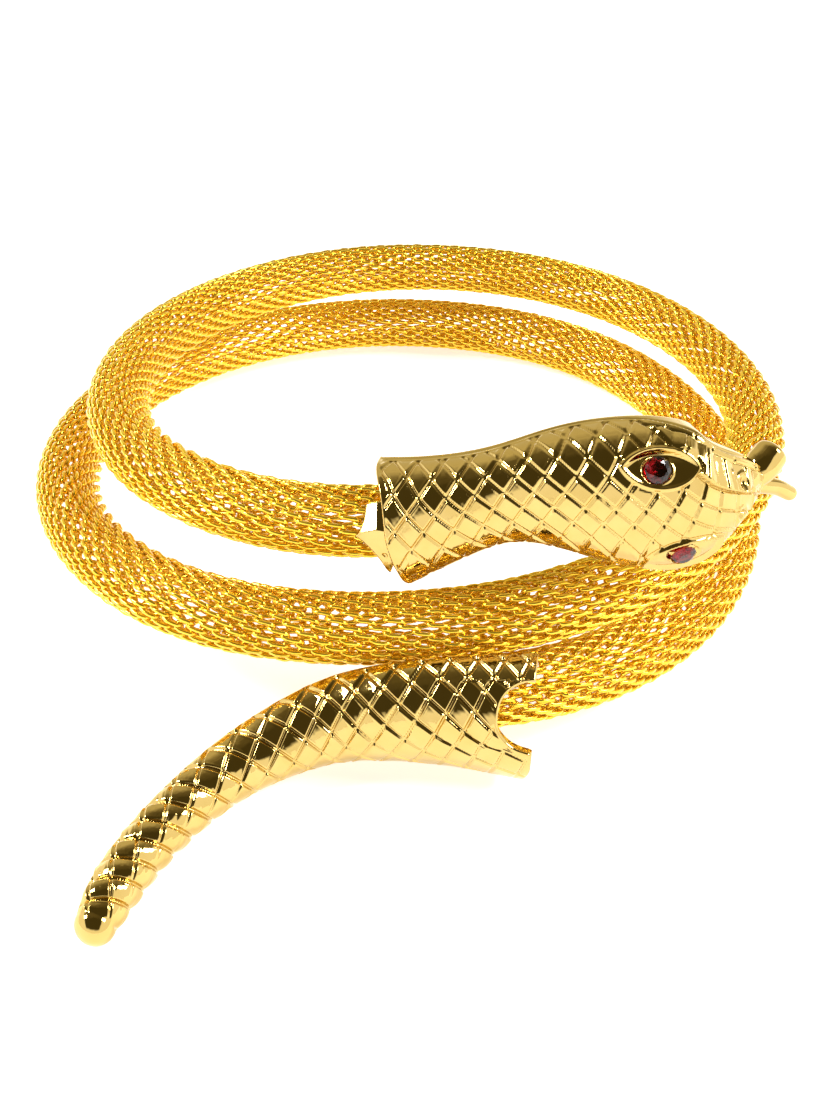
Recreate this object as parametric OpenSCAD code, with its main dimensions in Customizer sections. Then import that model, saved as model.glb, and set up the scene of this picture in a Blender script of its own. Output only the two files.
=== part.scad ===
// Coil bracelet in the form of a snake. A round hollow tube of chain-link wire
// mesh goes twice round the wrist. A cast head holds its upper end and a cast
// tail its lower end. It lies on its side on a table, coil axis upright, with
// the origin on the coil axis at the level of the table.

/* [Mesh tube] */
// Outside diameter of the mesh tube, mm
tube_d = 7; // [6.7:0.1:7.1]
// Thickness of the mesh wall, mm
mesh_wall = 0.7; // [0.5:0.1:1]
// Turns of the coil move in or out by this much, mm
coil_grow = 0; // [-0.2:0.1:0.2]

/* [Head] */
// Width of the head across the eyes, mm
head_w = 13.4; // [13:0.1:13.8]
// Wall of the castings round the ends of the mesh, mm
cast_wall = 0.8; // [0.7:0.05:0.9]
// Diameter of each eye stone, mm
stone_d = 2.3; // [2:0.1:2.6]
// Thickness of the lower prong of the tongue, mm
tongue_d = 1.6; // [1.4:0.1:1.8]

/* [Tail] */
// Width of the tail casting at its mouth, mm
tail_w = 13.8; // [13.4:0.1:14.2]
// Radius of the arch cut in the tail's mouth, mm
notch_r = 3.4; // [3:0.1:3.6]

/* [Collar] */
// Thickness of the clip on the mesh at the head, mm
collar_t = 0.45; // [0.35:0.05:0.5]
// Length of that clip along the mesh, mm
collar_len = 2.4; // [2:0.1:2.6]

/* [Hidden] */

gold = [0.93, 0.78, 0.42];
mesh_gold = [0.87, 0.63, 0.2];
stone_red = [0.45, 0.02, 0.05];

// ---- tools for tables and lofts ----

// Smooth curve through the rows of a table, at place u counted in rows
function spline(tab, u) =
    let (i = min(floor(u), len(tab) - 2), f = u - i,
         p1 = tab[i], p2 = tab[i + 1],
         p0 = i > 0 ? tab[i - 1] : 2 * p1 - p2,
         p3 = i + 2 < len(tab) ? tab[i + 2] : 2 * p2 - p1)
    0.5 * (2 * p1 + (p2 - p0) * f + (2 * p0 - 5 * p1 + 4 * p2 - p3) * f * f
           + (3 * p1 - p0 - 3 * p2 + p3) * f * f * f);
function unit(v) = v / norm(v);
function sgn_pow(x, p) = sign(x) * pow(abs(x), p);

// Faces of a grid of rings, n points in each of m rings, closed round
function tube_faces(m, n, o = 0, flip = false) =
    [for (i = [0:m - 2], j = [0:n - 1])
        let (a = o + i * n + j, b = o + i * n + (j + 1) % n, c = b + n, d = a + n)
        each flip ? [[a, c, b], [a, d, c]] : [[a, b, c], [a, c, d]]];

// ---- mesh tube ----

// Route of the tube's centre line, one row each eighth of a turn, from the
// head to the tail: angle round the wrist, radius, height, half thickness
route = [
    [ -90, 30.3, 20.9, 3.40],
    [-135, 31.4, 18.7, 3.42],
    [-180, 33.1, 15.8, 3.50],
    [-225, 35.4, 13.8, 3.34],
    [-270, 38.2, 12.6, 3.18],
    [-315, 39.8, 12.3, 3.12],
    [-360, 39.1, 12.8, 3.20],
    [-405, 36.6, 13.4, 3.38],
    [-450, 35.3, 12.1, 3.46],
    [-495, 38.3, 10.6, 3.56],
    [-540, 39.8,  7.3, 3.56],
    [-585, 39.9,  4.6, 3.50],
    [-630, 38.7,  3.6, 3.46],
    [-675, 38.4, 3.55, 3.46],
    [-720, 37.4,  3.6, 3.50],
    [-765, 37.9,  4.6, 3.58],
    [-810, 40.1,  8.2, 3.40]];
mesh_from = -87.4;
mesh_to = -805;
mesh_rings = 78;
mesh_sides = 12;

function route_u(a) = (-90 - a) / 45;
function mesh_axis(a) =
    let (u = route_u(a), r = u >= 0 ? spline(route, u)
             : route[0] + (route[0] - route[1]) * (-u))
    [(r[1] + coil_grow * (u > 1 && u < 15 ? 1 : 0.3)) * cos(a),
     (r[1] + coil_grow * (u > 1 && u < 15 ? 1 : 0.3)) * sin(a), r[2]];
function mesh_half(a) =
    let (u = max(0, route_u(a))) spline(route, u)[3] * tube_d / 7;
function mesh_ring(a, cut) =
    let (p = mesh_axis(a), t = unit(mesh_axis(a - 0.5) - mesh_axis(a + 0.5)),
         o = unit([p[0], p[1], 0] - ([p[0], p[1], 0] * t) * t),
         v = cross(t, o), r = mesh_half(a) - cut)
    [for (j = [0:mesh_sides - 1])
        let (q = (j + 0.5) * 360 / mesh_sides) p + r * (cos(q) * o + sin(q) * v)];

module mesh_tube() {
    color(mesh_gold) {
        m = mesh_rings;
        n = mesh_sides;
        angles = [for (i = [0:m - 1]) mesh_from + (mesh_to - mesh_from) * i / (m - 1)];
        outer = [for (a = angles) each mesh_ring(a, 0)];
        inner = [for (a = angles) each mesh_ring(a, mesh_wall)];
        k = m * n;
        ends = [for (e = [0, (m - 1) * n], j = [0:n - 1])
            let (a = e + j, b = e + (j + 1) % n)
            each e == 0 ? [[a, b + k, a + k], [a, b, b + k]]
                        : [[a, a + k, b + k], [a, b + k, b]]];
        polyhedron(concat(outer, inner),
            concat(tube_faces(m, n, 0, true), tube_faces(m, n, k), ends));
    }
}

// ---- castings: one loft for the head and the tail ----

// A section is a dome over a back. Its frame: P on the axis, T along it,
// D out through the top of the dome, S to the side that lies upward.
dome_n = 23;
back_n = 5;
wall_from = 0.84;

// Dome points, as distances along S and D: half width w, height h, and side
// walls that go down past the axis by drop
function dome(w, h, drop, power, cut = 0) =
    [for (i = [0:dome_n - 1])
        let (u = -1 + 2 * i / (dome_n - 1), k = drop > 0 ? wall_from : 1,
             t = 90 * max(-1, min(1, u / k)),
             d = drop > 0 ? max(0, (abs(u) - k) / (1 - k)) : 0)
        [(w - cut) * sgn_pow(sin(t), power),
         (h - cut) * pow(max(0, cos(t)), power) - drop * d]];
// Back points between the dome's two feet, bulging by e
function back(w, drop, e) =
    [for (j = [1:back_n]) let (t = 180 * j / (back_n + 1))
        [w * cos(t), -drop - e * sin(t)]];
function place(f, list) = [for (q = list) f[0] + q[0] * f[2] + q[1] * f[3]];

// One solid from frames f, sections sec = [w, h, drop, e], and a socket for
// the mesh up to ring m, open at its mouth and at its back
module casting(f, sec, m, power, wall, tip) {
    n = dome_n;
    b = back_n;
    nr = len(f);
    outer = [for (i = [0:nr - 1]) each place(f[i], dome(sec[i][0], sec[i][1], sec[i][2], power))];
    backs = [for (i = [m:nr - 1]) each place(f[i], back(sec[i][0], sec[i][2], sec[i][3]))];
    inner = [for (i = [0:m]) each place(f[i], dome(sec[i][0], sec[i][1], sec[i][2], power, wall))];
    ob = nr * n;
    oi = ob + (nr - m) * b;
    ot = oi + (m + 1) * n;
    skin = [for (i = [0:nr - 2], j = [0:n - 2]) let (a = i * n + j)
        each [[a, a + 1, a + n + 1], [a, a + n + 1, a + n]]];
    lining = [for (i = [0:m - 1], j = [0:n - 2]) let (a = oi + i * n + j)
        each [[a, a + n + 1, a + 1], [a, a + n, a + n + 1]]];
    mouth = [for (j = [0:n - 2]) each [[j, oi + j + 1, j + 1], [j, oi + j, oi + j + 1]]];
    feet = [for (i = [0:m - 1], s = [0, n - 1])
        let (a = i * n + s, c = oi + i * n + s)
        each s == 0 ? [[a, a + n, c + n], [a, c + n, c]]
                    : [[a, c + n, a + n], [a, c, c + n]]];
    // closed outline of ring i past the socket: dome, then back
    function idx(i, j) = j < n ? i * n + j : ob + (i - m) * b + (j - n);
    base = [for (i = [m:nr - 2], j = [n - 1:n + b - 1])
        let (j2 = (j + 1) % (n + b))
        each [[idx(i, j), idx(i, j2), idx(i + 1, j2)],
              [idx(i, j), idx(i + 1, j2), idx(i + 1, j)]]];
    bulkhead = [concat([for (j = [n - 1:-1:0]) oi + m * n + j],
        [idx(m, 0)], [for (j = [b - 1:-1:0]) idx(m, n + j)], [idx(m, n - 1)])];
    end = [for (j = [0:n + b - 1]) [idx(nr - 1, j), idx(nr - 1, (j + 1) % (n + b)), ot]];
    polyhedron(concat(outer, backs, inner, [tip]),
        concat(skin, lining, mouth, feet, base, bulkhead, end), convexity = 8);
}

// ---- head ----

// Rows from the mouth to the snout: x, y, z of the axis, half width,
// dome height as a part of that, roll of the dome upward in degrees
head_rows = [
    [-1.5, -30.5, 20.8, 5.9, 0.82, 16],
    [ 3.0, -31.2, 22.7, 4.8, 0.84, 13],
    [ 8.0, -31.6, 24.6, 4.2, 0.86, 12],
    [13.5, -31.9, 25.6, 5.6, 0.82, 11],
    [19.0, -32.0, 25.3, 6.7, 0.76, 11],
    [24.0, -31.7, 24.4, 6.4, 0.72, 12],
    [27.6, -30.6, 24.5, 4.1, 0.70, 13],
    [29.5, -29.6, 24.4, 2.6, 0.72, 13],
    [30.6, -29.0, 24.2, 1.65, 0.75, 14]];
head_drop = 1.2;
head_n = 34;
head_socket = 4;
function head_x(u) = let (r = spline(head_rows, u)) [r[0], r[1], r[2]];
function head_frame(u) =
    let (p = head_x(u), t = unit(head_x(min(8, u + 0.05)) - head_x(max(0, u - 0.05))),
         o = unit(cross(t, [0, 0, 1])), v = cross(o, t), q = spline(head_rows, u)[5])
    [p, t, -sin(q) * o + cos(q) * v, cos(q) * o + sin(q) * v];
function head_sec(u) =
    let (r = spline(head_rows, u), w = r[3] * head_w / 13.4)
    [w, w * r[4], head_drop * min(1, w / 4), 0.4];
head_us = [for (i = [0:head_n]) 8 * i / head_n];
nose = [0.35, 0.65, 0.87];
nose_len = 0.9;

// A place on the head's skin: u in rows, t degrees round the dome.
// Gives the point and the outward direction.
function head_skin(u, t) =
    let (f = head_frame(u), s = head_sec(u))
    f[0] + s[0] * sgn_pow(sin(t), 0.9) * f[2] + s[1] * pow(cos(t), 0.9) * f[3];
function head_normal(u, t) =
    unit(cross(head_skin(u + 0.1, t) - head_skin(u - 0.1, t),
               head_skin(u, t + 2) - head_skin(u, t - 2)));

// Eyes: row place and degrees round the dome
eye_upper = [4.1, 34.5];
eye_lower = [4.85, -34.5];
stone_deep = 0.7;
stone_gap = 0.12;

module aim(p, d) {
    translate(p)
        rotate([0, acos(d[2]), atan2(d[1], d[0])]) children();
}
module at_eye(e) {
    d = head_normal(e[0], e[1]);
    aim(head_skin(e[0], e[1]), d) children();
}
module socket() {
    translate([0, 0, -stone_deep - stone_gap])
        cylinder(h = 4, r = stone_d / 2 + stone_gap, $fn = 32);
}
module rim() {
    translate([0, 0, -0.8])
        cylinder(h = 1.05, r = stone_d / 2 + 0.5, $fn = 32);
}
// Rounded rod from a to b
module prong(a, b, r1, r2) {
    hull() {
        translate(a) sphere(r = r1, $fn = 20);
        translate(b) sphere(r = r2, $fn = 20);
    }
}

tongue_root = [30.6, -28.7, 23.9];
tongue_up = [32.1, -27.6, 25.9];
tongue_down = [35.0, -27.0, 21.3];

module snake_head() {
    color(gold)
    difference() {
        union() {
            fs = [for (u = head_us) head_frame(u)];
            ss = [for (u = head_us) head_sec(u)];
            last = fs[head_n];
            sl = ss[head_n];
            caps = [for (k = nose) let (c = sqrt(1 - k * k))
                [last[0] + nose_len * k * last[1], last[1], last[2], last[3]]];
            cs = [for (k = nose) let (c = sqrt(1 - k * k)) c * sl];
            casting(concat(fs, caps), concat(ss, cs), head_socket, 0.9, cast_wall,
                last[0] + nose_len * last[1]);
            at_eye(eye_upper) rim();
            at_eye(eye_lower) rim();
            prong(tongue_root, tongue_up, 1.2, 1.45);
            prong(tongue_root, tongue_down, tongue_d / 2, tongue_d / 2);
        }
        at_eye(eye_upper) socket();
        at_eye(eye_lower) socket();
    }
}

// Round stone: a low faceted crown over a cone, sunk in its socket
module stone() {
    r = stone_d / 2;
    color(stone_red)
    translate([0, 0, -stone_deep])
        rotate_extrude($fn = 16)
            polygon([[0, 0], [r * 0.5, 0], [r, 0.5], [r, 0.75], [r * 0.55, 1.25], [0, 1.25]]);
}
module eye_stone_upper() { at_eye(eye_upper) stone(); }
module eye_stone_lower() { at_eye(eye_lower) stone(); }

// ---- tail ----

// Rows from the mouth to the tip: x, y, half width, dome height as a part of
// that, depth of the back as a part of that, roll of the dome upward, and how
// far the lowest point is above the table
tail_rows = [
    [ 11.4, -41.6, 6.80, 0.84, 0.25,  6, 0.70],
    [  5.0, -40.6, 6.00, 0.84, 0.25,  6, 1.05],
    [ -1.0, -40.1, 5.35, 0.84, 0.25,  5, 1.15],
    [ -7.1, -40.0, 4.45, 0.86, 0.30, 14, 0.80],
    [-12.1, -41.6, 3.65, 0.90, 0.40, 22, 0.40],
    [-16.5, -44.3, 3.00, 0.95, 0.60, 30, 0.15],
    [-20.1, -48.1, 2.60, 1.00, 0.80, 38, 0.05],
    [-23.1, -52.6, 2.35, 1.00, 0.90, 46, 0.05],
    [-25.1, -57.0, 2.20, 1.00, 0.95, 52, 0.05],
    [-26.0, -60.0, 1.75, 1.00, 1.00, 55, 0.05]];
tail_n = 38;
tail_socket = 7;
notch_up = 2.5;
function tail_xy(u) = let (r = spline(tail_rows, u)) [r[0], r[1], 0];
function tail_sec(u) =
    let (r = spline(tail_rows, u), w = r[2] * tail_w / 13.8)
    [w, w * r[3], 0, w * r[4]];
function tail_frame(u, scale = 1, ahead = 0) =
    let (p = tail_xy(u), t = unit(tail_xy(min(9, u + 0.05)) - tail_xy(max(0, u - 0.05))),
         o = -cross(t, [0, 0, 1]), q = spline(tail_rows, u)[5], s = tail_sec(u),
         side = -sin(q) * o + [0, 0, cos(q)], out = cos(q) * o + [0, 0, sin(q)],
         low = min([for (k = concat(dome(s[0], s[1], 0, 1), back(s[0], 0, s[3])))
             k[0] * side[2] + k[1] * out[2]]))
    [p + [0, 0, spline(tail_rows, u)[6] - low] + ahead * t, t, side, out];
tail_us = [for (i = [0:tail_n]) 9 * i / tail_n];

module snake_tail() {
    color(gold)
    difference() {
        fs = [for (u = tail_us) tail_frame(u)];
        ss = [for (u = tail_us) tail_sec(u)];
        last = fs[tail_n];
        caps = [for (k = nose) tail_frame(9, ahead = 1.5 * k)];
        cs = [for (k = nose) sqrt(1 - k * k) * ss[tail_n]];
        tail_casting(concat(fs, caps), concat(ss, cs), last[0] + 1.5 * last[1]);
        // arch in the outer wall of the mouth
        f0 = tail_frame(0);
        aim(f0[0] + 1.5 * f0[3] + notch_up * f0[2], f0[3])
            cylinder(h = 12, r = notch_r, $fn = 40);
    }
}
// The tail's sections run the other way round its axis than the head's do
module tail_casting(f, sec, tip) {
    flipped = [for (k = f) [k[0], k[1], -k[2], k[3]]];
    casting(flipped, sec, tail_socket, 1, cast_wall, tip);
}

// ---- clip on the mesh at the head ----

collar_at = -96.2;
collar_from = -62;
collar_sweep = 118;
module head_collar() {
    p = mesh_axis(collar_at);
    t = unit(mesh_axis(collar_at - 0.5) - mesh_axis(collar_at + 0.5));
    o = unit([p[0], p[1], 0] - ([p[0], p[1], 0] * t) * t);
    v = cross(t, o);
    r = mesh_half(collar_at) + 0.1;
    color(gold)
    multmatrix([[o[0], v[0], t[0], p[0]], [o[1], v[1], t[1], p[1]], [o[2], v[2], t[2], p[2]]])
    rotate([0, 0, collar_from])
    rotate_extrude(angle = collar_sweep, $fn = 48)
        translate([r, -collar_len / 2]) square([collar_t, collar_len]);
}

mesh_tube();
snake_head();
snake_tail();
head_collar();
eye_stone_upper();
eye_stone_lower();
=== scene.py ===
import math

import bpy
import numpy as np
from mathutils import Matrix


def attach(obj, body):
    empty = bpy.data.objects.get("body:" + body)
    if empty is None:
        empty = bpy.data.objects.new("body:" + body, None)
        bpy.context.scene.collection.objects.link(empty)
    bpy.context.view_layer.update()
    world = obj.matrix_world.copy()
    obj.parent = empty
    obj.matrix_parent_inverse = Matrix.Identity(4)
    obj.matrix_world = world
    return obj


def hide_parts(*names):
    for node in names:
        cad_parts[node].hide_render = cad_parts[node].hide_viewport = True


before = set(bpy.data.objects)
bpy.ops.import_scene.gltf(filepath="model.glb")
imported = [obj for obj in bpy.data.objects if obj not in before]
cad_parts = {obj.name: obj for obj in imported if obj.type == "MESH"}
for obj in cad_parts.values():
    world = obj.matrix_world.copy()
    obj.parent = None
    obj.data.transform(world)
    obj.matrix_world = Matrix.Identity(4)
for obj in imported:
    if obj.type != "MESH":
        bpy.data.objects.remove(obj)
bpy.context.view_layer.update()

MM = 0.001


# ------------------------------------------------------------------ helpers

def unit(v):
    return v / np.linalg.norm(v, axis=-1, keepdims=True)


def spline(tab, u):
    """Smooth curve through the rows of a table, as in the part's source."""
    tab = np.asarray(tab, float)
    u = np.asarray(u, float)
    ext = np.vstack([2 * tab[0] - tab[1], tab, 2 * tab[-1] - tab[-2]])
    i = np.clip(np.floor(u).astype(int), 0, len(tab) - 2)
    f = (u - i)[..., None]
    p0, p1, p2, p3 = ext[i], ext[i + 1], ext[i + 2], ext[i + 3]
    return 0.5 * (2 * p1 + (p2 - p0) * f + (2 * p0 - 5 * p1 + 4 * p2 - p3) * f * f
                  + (3 * p1 - p0 - 3 * p2 + p3) * f ** 3)


def smooth_table(tab, sigma):
    """The table's curve, evened out over about sigma rows, as a lookup."""
    n = len(tab) - 1
    step = 0.02
    us = np.arange(-2, n + 2 + step / 2, step)
    inside = np.clip(us, 0, n)
    rows = spline(tab, inside)
    d0 = (spline(tab, np.array([0.01])) - spline(tab, np.array([0.0]))) / 0.01
    d1 = (spline(tab, np.array([n - 0.0])) - spline(tab, np.array([n - 0.01]))) / 0.01
    rows = rows + np.where(us[:, None] < 0, us[:, None] * d0, 0)
    rows = rows + np.where(us[:, None] > n, (us[:, None] - n) * d1, 0)
    k = np.arange(-150, 151) * step
    g = np.exp(-0.5 * (k / sigma) ** 2)
    g /= g.sum()
    pad = np.pad(rows, ((150, 150), (0, 0)), mode="reflect", reflect_type="odd")
    out = np.stack([np.convolve(pad[:, c], g, mode="valid") for c in range(rows.shape[1])], 1)

    def at(u):
        u = np.asarray(u, float)
        return np.stack([np.interp(u, us, out[:, c]) for c in range(out.shape[1])], -1)
    return at


def make_mesh(name, verts, quads=None, tris=None, smooth=True, mats=(), poly_mat=None, weld=False):
    """Mesh object from arrays in millimetres."""
    faces = []
    if quads is not None and len(quads):
        faces.append(np.asarray(quads, np.int32))
    if tris is not None and len(tris):
        faces.append(np.asarray(tris, np.int32))
    me = bpy.data.meshes.new(name)
    verts = np.asarray(verts, np.float32) * MM
    me.vertices.add(len(verts))
    me.vertices.foreach_set("co", verts.ravel())
    loops = np.concatenate([f.ravel() for f in faces])
    sizes = np.concatenate([np.full(len(f), f.shape[1], np.int32) for f in faces])
    me.loops.add(len(loops))
    me.loops.foreach_set("vertex_index", loops)
    me.polygons.add(len(sizes))
    starts = np.concatenate([[0], np.cumsum(sizes)[:-1]]).astype(np.int32)
    me.polygons.foreach_set("loop_start", starts)
    me.polygons.foreach_set("loop_total", sizes)
    me.polygons.foreach_set("use_smooth", np.full(len(sizes), smooth, bool))
    if poly_mat is not None:
        me.polygons.foreach_set("material_index", np.asarray(poly_mat, np.int32))
    me.update(calc_edges=True)
    me.validate()
    ob = bpy.data.objects.new(name, me)
    bpy.context.scene.collection.objects.link(ob)
    for m in mats:
        me.materials.append(m)
    return ob


def piece(ob, node):
    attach(ob, "root")
    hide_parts(node)
    return ob


def step01(x):
    x = np.clip(x, 0, 1)
    return x * x * (3 - 2 * x)


# ---------------------------------------------------------------- materials

class Nodes:
    def __init__(self, name):
        self.mat = bpy.data.materials.new(name)
        self.mat.use_nodes = True
        self.t = self.mat.node_tree
        self.n = self.t.nodes
        self.l = self.t.links
        self.bsdf = self.n["Principled BSDF"]
        self.obj = self.n.new("ShaderNodeTexCoord").outputs["Object"]

    def noise(self, scale, detail=3.0, rough=0.5, dims="3D"):
        x = self.n.new("ShaderNodeTexNoise")
        x.noise_dimensions = dims
        x.inputs["Scale"].default_value = scale
        x.inputs["Detail"].default_value = detail
        x.inputs["Roughness"].default_value = rough
        self.l.new(self.obj, x.inputs["Vector"])
        return x.outputs["Fac"]

    def ramp(self, src, stops):
        r = self.n.new("ShaderNodeValToRGB")
        e = r.color_ramp.elements
        while len(e) > len(stops):
            e.remove(e[-1])
        while len(e) < len(stops):
            e.new(1.0)
        for k, (p, c) in zip(e, stops):
            k.position = p
            k.color = (*c, 1) if len(c) == 3 else c
        self.l.new(src, r.inputs["Fac"])
        return r.outputs["Color"]

    def span(self, src, a, b, lo, hi):
        m = self.n.new("ShaderNodeMapRange")
        m.inputs["From Min"].default_value = a
        m.inputs["From Max"].default_value = b
        m.inputs["To Min"].default_value = lo
        m.inputs["To Max"].default_value = hi
        self.l.new(src, m.inputs["Value"])
        return m.outputs["Result"]

    def bump(self, src, strength, dist, after=None):
        b = self.n.new("ShaderNodeBump")
        b.inputs["Strength"].default_value = strength
        b.inputs["Distance"].default_value = dist
        self.l.new(src, b.inputs["Height"])
        if after is not None:
            self.l.new(after, b.inputs["Normal"])
        return b.outputs["Normal"]

    def put(self, name, src):
        self.l.new(src, self.bsdf.inputs[name])

    def value(self, name, v):
        self.bsdf.inputs[name].default_value = v


def cast_gold():
    """Bright gold plate on a cast and polished part."""
    m = Nodes("cast_gold")
    tone = m.noise(420, 4, 0.55)
    m.put("Base Color", m.ramp(tone, [(0.35, (0.635, 0.445, 0.142)), (0.65, (0.67, 0.478, 0.168))]))
    m.value("Metallic", 1.0)
    m.put("Roughness", m.span(m.noise(1500, 4, 0.6), 0.35, 0.7, 0.035, 0.08))
    wave = m.bump(m.noise(420, 2.0, 0.4), 0.12, 0.00004)
    fine = m.bump(m.noise(3600, 3.0, 0.6), 0.14, 0.00001, wave)
    m.put("Normal", fine)
    return m.mat


def mesh_gold():
    """Drawn wire, plated after weaving; a more saturated gold than the castings, its tone varying at random, and deeper
    in the hollows only through light bouncing between the wires.
    """
    m = Nodes("mesh_gold")
    tone = m.noise(900, 4, 0.6)
    m.put("Base Color", m.ramp(tone, [(0.32, (0.99, 0.62, 0.026)), (0.68, (1.0, 0.695, 0.070))]))
    m.value("Metallic", 0.82)
    m.value("Coat Weight", 0.25)
    m.value("Coat Roughness", 0.05)
    m.put("Roughness", m.span(m.noise(2500, 3, 0.6), 0.3, 0.7, 0.06, 0.12))
    m.put("Normal", m.bump(m.noise(6000, 3, 0.6), 0.10, 0.00001))
    return m.mat


def red_stone():
    m = Nodes("red_stone")
    m.put("Base Color", m.ramp(m.noise(500, 2, 0.5), [(0.3, (0.165, 0.002, 0.005)), (0.7, (0.245, 0.004, 0.010))]))
    m.value("Roughness", 0.02)
    m.value("IOR", 1.54)
    m.value("Transmission Weight", 1.0)
    return m.mat


def plain_floor():
    m = Nodes("plain_floor")
    m.put("Base Color", m.ramp(m.noise(6, 2, 0.5), [(0.3, (0.90, 0.90, 0.90)), (0.7, (0.915, 0.915, 0.915))]))
    m.value("Roughness", 0.6)
    m.value("Specular IOR Level", 0.1)
    m.value("Emission Color", (1.0, 1.0, 1.0, 1.0))
    m.value("Emission Strength", 0.60)
    return m.mat


CAST = cast_gold()
WIRE = mesh_gold()
STONE = red_stone()

# ------------------------------------------------------------- camera, light

ELEV = math.radians(39.5)
cam = bpy.data.cameras.new("camera")
cam.lens = 1168 / 1108 * 36
cam.sensor_width = 36
cam.clip_start = 0.01
cam.clip_end = 20
cam_ob = bpy.data.objects.new("camera", cam)
cam_ob.location = (-0.34 * MM, -114.4 * MM, 86.04 * MM)
cam_ob.rotation_euler = (math.pi / 2 - ELEV, 0, 0)
bpy.context.scene.collection.objects.link(cam_ob)
bpy.context.scene.camera = cam_ob
bpy.context.scene.view_settings.view_transform = "Standard"

floor = make_mesh("floor", [(-1500, -1500, 0), (1500, -1500, 0), (1500, 1500, 0), (-1500, 1500, 0)],
                  quads=[(0, 1, 2, 3)], smooth=False, mats=[plain_floor()])

world = bpy.data.worlds.new("studio")
bpy.context.scene.world = world
world.use_nodes = True
wt = world.node_tree
bg = wt.nodes["Background"]
tc = wt.nodes.new("ShaderNodeTexCoord")
sep = wt.nodes.new("ShaderNodeSeparateXYZ")
wt.links.new(tc.outputs["Generated"], sep.inputs["Vector"])
# pale sweep round the horizon, lower at the back, and pale walls on the right and left
side = wt.nodes.new("ShaderNodeMapRange")
side.interpolation_type = "SMOOTHSTEP"
for k, x in (("From Min", 0.30), ("From Max", 0.68), ("To Min", 0.0), ("To Max", 0.52)):
    side.inputs[k].default_value = x
wt.links.new(sep.outputs["X"], side.inputs["Value"])
rear = wt.nodes.new("ShaderNodeMapRange")
rear.interpolation_type = "SMOOTHSTEP"
for k, x in (("From Min", 0.20), ("From Max", 0.52), ("To Min", 1.0), ("To Max", 0.0)):
    rear.inputs[k].default_value = x
wt.links.new(sep.outputs["Y"], rear.inputs["Value"])
wall = wt.nodes.new("ShaderNodeMath")
wall.operation = "MULTIPLY"
wt.links.new(side.outputs["Result"], wall.inputs[0])
wt.links.new(rear.outputs["Result"], wall.inputs[1])
lean = wt.nodes.new("ShaderNodeMath")
lean.operation = "MULTIPLY_ADD"
lean.inputs[1].default_value = 0.10
wt.links.new(sep.outputs["Y"], lean.inputs[0])
wt.links.new(sep.outputs["Z"], lean.inputs[2])
less = wt.nodes.new("ShaderNodeMath")
less.operation = "SUBTRACT"
wt.links.new(lean.outputs["Value"], less.inputs[0])
left = wt.nodes.new("ShaderNodeMapRange")
left.interpolation_type = "SMOOTHSTEP"
for k, x in (("From Min", -0.62), ("From Max", -0.85), ("To Min", 0.0), ("To Max", 0.42)):
    left.inputs[k].default_value = x
wt.links.new(sep.outputs["X"], left.inputs["Value"])
walls = wt.nodes.new("ShaderNodeMath")
walls.operation = "ADD"
wt.links.new(wall.outputs["Value"], walls.inputs[0])
wt.links.new(left.outputs["Result"], walls.inputs[1])
wt.links.new(walls.outputs["Value"], less.inputs[1])
ramp = wt.nodes.new("ShaderNodeValToRGB")
e = ramp.color_ramp.elements
e[0].position, e[0].color = 0.10, (1, 1, 1, 1)
e[1].position, e[1].color = 0.24, (0, 0, 0, 1)
# the darker part: brown in front, olive at the back, with soft blotches
wn = wt.nodes.new("ShaderNodeTexNoise")
wn.inputs["Scale"].default_value = 3.2
wn.inputs["Detail"].default_value = 3.0
wn.inputs["Roughness"].default_value = 0.55
wt.links.new(tc.outputs["Generated"], wn.inputs["Vector"])


def world_math(op, first, second, third=None):
    n = wt.nodes.new("ShaderNodeMath")
    n.operation = op
    for k, x in enumerate((first, second, third)):
        if x is None:
            continue
        if isinstance(x, float):
            n.inputs[k].default_value = x
        else:
            wt.links.new(x, n.inputs[k])
    return n.outputs["Value"]


wt.links.new(world_math("MULTIPLY_ADD", wn.outputs["Fac"], 0.20,
                        world_math("SUBTRACT", less.outputs["Value"], 0.10)), ramp.inputs["Fac"])
depth = wt.nodes.new("ShaderNodeMapRange")
for k, x in (("From Min", -1.0), ("From Max", 1.0), ("To Min", 0.0), ("To Max", 1.0)):
    depth.inputs[k].default_value = x
wt.links.new(world_math("MULTIPLY_ADD", wn.outputs["Fac"], 0.7,
                        world_math("SUBTRACT", sep.outputs["Y"], 0.35)), depth.inputs["Value"])
dim = wt.nodes.new("ShaderNodeValToRGB")
e = dim.color_ramp.elements
e[0].position, e[0].color = 0.38, (0.080, 0.066, 0.024, 1)
e[1].position, e[1].color = 0.86, (0.780, 0.720, 0.480, 1)
k = e.new(0.60)
k.color = (0.185, 0.155, 0.075, 1)
wt.links.new(depth.outputs["Result"], dim.inputs["Fac"])
mix = wt.nodes.new("ShaderNodeMix")
mix.data_type = "RGBA"
wt.links.new(ramp.outputs["Color"], mix.inputs[0])
wt.links.new(dim.outputs["Color"], mix.inputs[6])
mix.inputs[7].default_value = (1.40, 1.38, 1.30, 1)
wt.links.new(mix.outputs[2], bg.inputs["Color"])
bg.inputs["Strength"].default_value = 1.0


def softbox(name, place, aim, size, power):
    """Square or oblong soft light that looks at aim; millimetres."""
    from mathutils import Vector
    d = bpy.data.lights.new(name, "AREA")
    d.shape = "RECTANGLE"
    d.size, d.size_y = size[0] * MM, size[1] * MM
    d.energy = power
    ob = bpy.data.objects.new(name, d)
    ob.location = [c * MM for c in place]
    ob.rotation_euler = Vector([b - a for a, b in zip(place, aim)]).to_track_quat("-Z", "Y").to_euler()
    bpy.context.scene.collection.objects.link(ob)
    return ob


softbox("softbox_left", (-776, -30, 676), (0, 0, 0), (270, 220), 7.6)
softbox("softbox_right", (790, -110, 720), (0, 0, 0), (340, 340), 7.6)

# ---------------------------------------------------------------- wire mesh

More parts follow.
